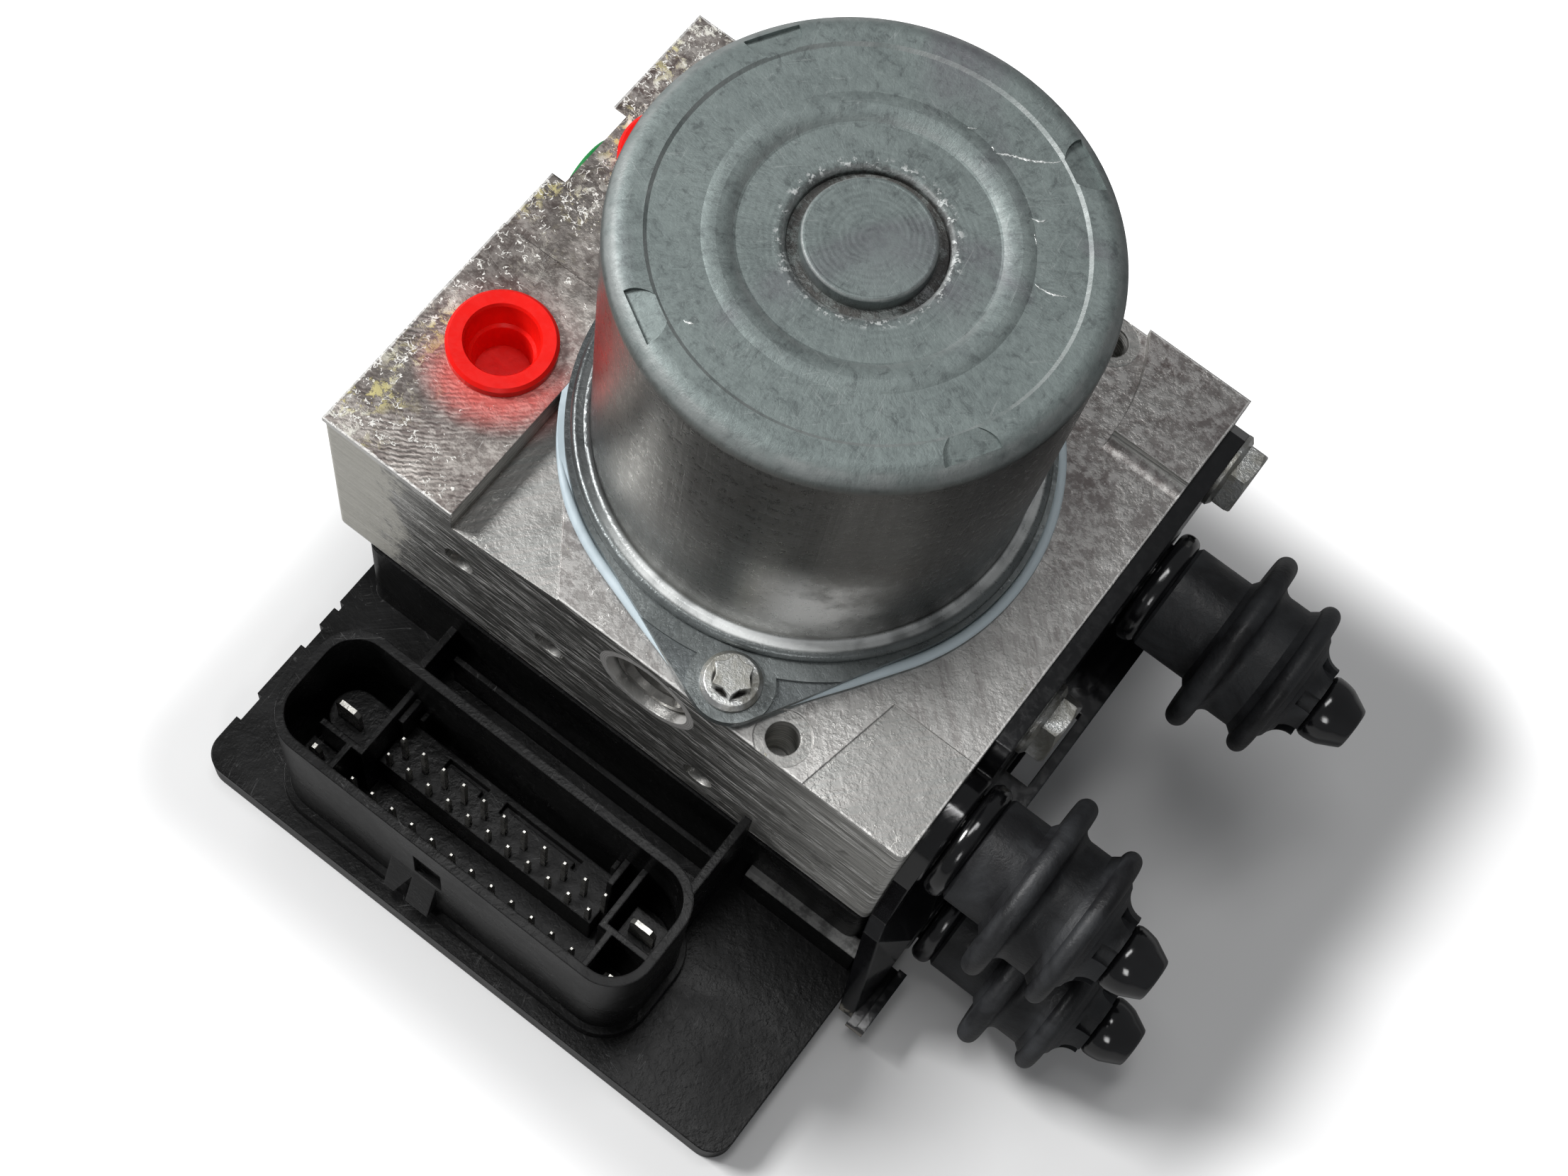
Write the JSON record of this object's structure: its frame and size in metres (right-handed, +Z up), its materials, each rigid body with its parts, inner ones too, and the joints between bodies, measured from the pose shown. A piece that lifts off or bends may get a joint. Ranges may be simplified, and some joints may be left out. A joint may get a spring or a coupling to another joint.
{
  "type": "abs brake module",
  "caption": "Anti-lock brake modulator: steel pump motor on an aluminium valve block, black controller with open plug socket, side bracket with rubber mounts.",
  "frame": {"origin": "point on the motor axis in the underside of the controller cover", "axes": "+Z up along the motor axis, +X towards the rubber mounts, the plug socket faces -Y"},
  "size_m": [0.1488, 0.127, 0.1273],
  "materials": {
    "block_aluminium": "satin",
    "zinc_can": "satin",
    "bright_zinc": "satin",
    "tin_plate": "satin",
    "dark_steel": "satin",
    "copper": "satin",
    "black_plastic": "satin",
    "grey_plastic": "matte",
    "red_cap": "satin",
    "green_cap": "satin",
    "blue_seal": "matte",
    "black_seal": "matte",
    "black_rubber": "matte",
    "black_sheet": "satin",
    "magnet_grey": "matte",
    "carbon": "matte",
    "green_board": "satin"
  },
  "bodies": {
    "hydraulic_unit": {"valve_block": "block_aluminium", "port_cap_front": "red_cap", "port_cap_rear": "red_cap", "side_port_caps": "green_cap", "pump_plug_front": "dark_steel", "pump_plug_rear": "dark_steel", "channel_balls": "dark_steel", "motor_can": "zinc_can", "motor_seal": "blue_seal", "motor_screws": "bright_zinc", "top_bearing": "dark_steel", "lower_bearing": "dark_steel", "field_magnets": "magnet_grey", "brush_holder": "grey_plastic", "carbon_brushes": "carbon", "brush_springs": "bright_zinc", "motor_contacts": "copper", "pump_sleeves": "dark_steel", "pump_spring_front": "bright_zinc", "pump_spring_rear": "bright_zinc", "inlet_valves": "dark_steel", "outlet_valves": "dark_steel", "solenoid_coils": "grey_plastic", "coil_frames": "bright_zinc", "accumulator_spring_left": "bright_zinc", "accumulator_spring_right": "bright_zinc", "accumulator_caps": "dark_steel", "controller_housing": "black_plastic", "controller_cover": "black_plastic", "controller_seal": "black_seal", "controller_screws": "bright_zinc", "circuit_board": "green_board", "board_parts": "carbon", "signal_pins": "tin_plate", "power_blades": "tin_plate", "bracket": "black_sheet", "bracket_bolts": "bright_zinc", "mount_pin_rear": "black_sheet", "mount_pin_front": "black_sheet", "mount_pin_low": "black_sheet", "rubber_mount_rear": "black_rubber", "rubber_mount_front": "black_rubber", "rubber_mount_low": "black_rubber"},
    "rotor": {"motor_shaft": "dark_steel", "armature_core": "dark_steel", "armature_windings": "copper", "commutator": "copper"},
    "cam_roller": {"cam_ring": "dark_steel"},
    "front_piston": {"pump_piston_front": "dark_steel"},
    "rear_piston": {"pump_piston_rear": "dark_steel"},
    "left_accumulator": {"accumulator_piston_left": "block_aluminium"},
    "right_accumulator": {"accumulator_piston_right": "block_aluminium"}
  },
  "joints": [
    {"name": "rotor_spin", "type": "hinge", "parent": "hydraulic_unit", "child": "rotor", "pos_m": [0, 0, 0.0561], "axis": [0, 0, 1], "continuous": true},
    {"name": "cam_roller_spin", "type": "hinge", "parent": "rotor", "child": "cam_roller", "pos_m": [0.0011, 0, 0.0561], "axis": [0, 0, 1], "continuous": true},
    {"name": "front_pump_stroke", "type": "slide", "parent": "hydraulic_unit", "child": "front_piston", "axis": [0, -1, 0], "range_m": [0, 0.001], "stiffness_N_per_m": 300, "deforming": ["pump_spring_front"]},
    {"name": "rear_pump_stroke", "type": "slide", "parent": "hydraulic_unit", "child": "rear_piston", "axis": [0, 1, 0], "range_m": [0, 0.001], "stiffness_N_per_m": 300, "deforming": ["pump_spring_rear"]},
    {"name": "left_accumulator_stroke", "type": "slide", "parent": "hydraulic_unit", "child": "left_accumulator", "axis": [0, 0, -1], "range_m": [0, 0.006], "stiffness_N_per_m": 1500, "springref_m": -0.004, "deforming": ["accumulator_spring_left"]},
    {"name": "right_accumulator_stroke", "type": "slide", "parent": "hydraulic_unit", "child": "right_accumulator", "axis": [0, 0, -1], "range_m": [0, 0.006], "stiffness_N_per_m": 1500, "springref_m": -0.004, "deforming": ["accumulator_spring_right"]}
  ]
}
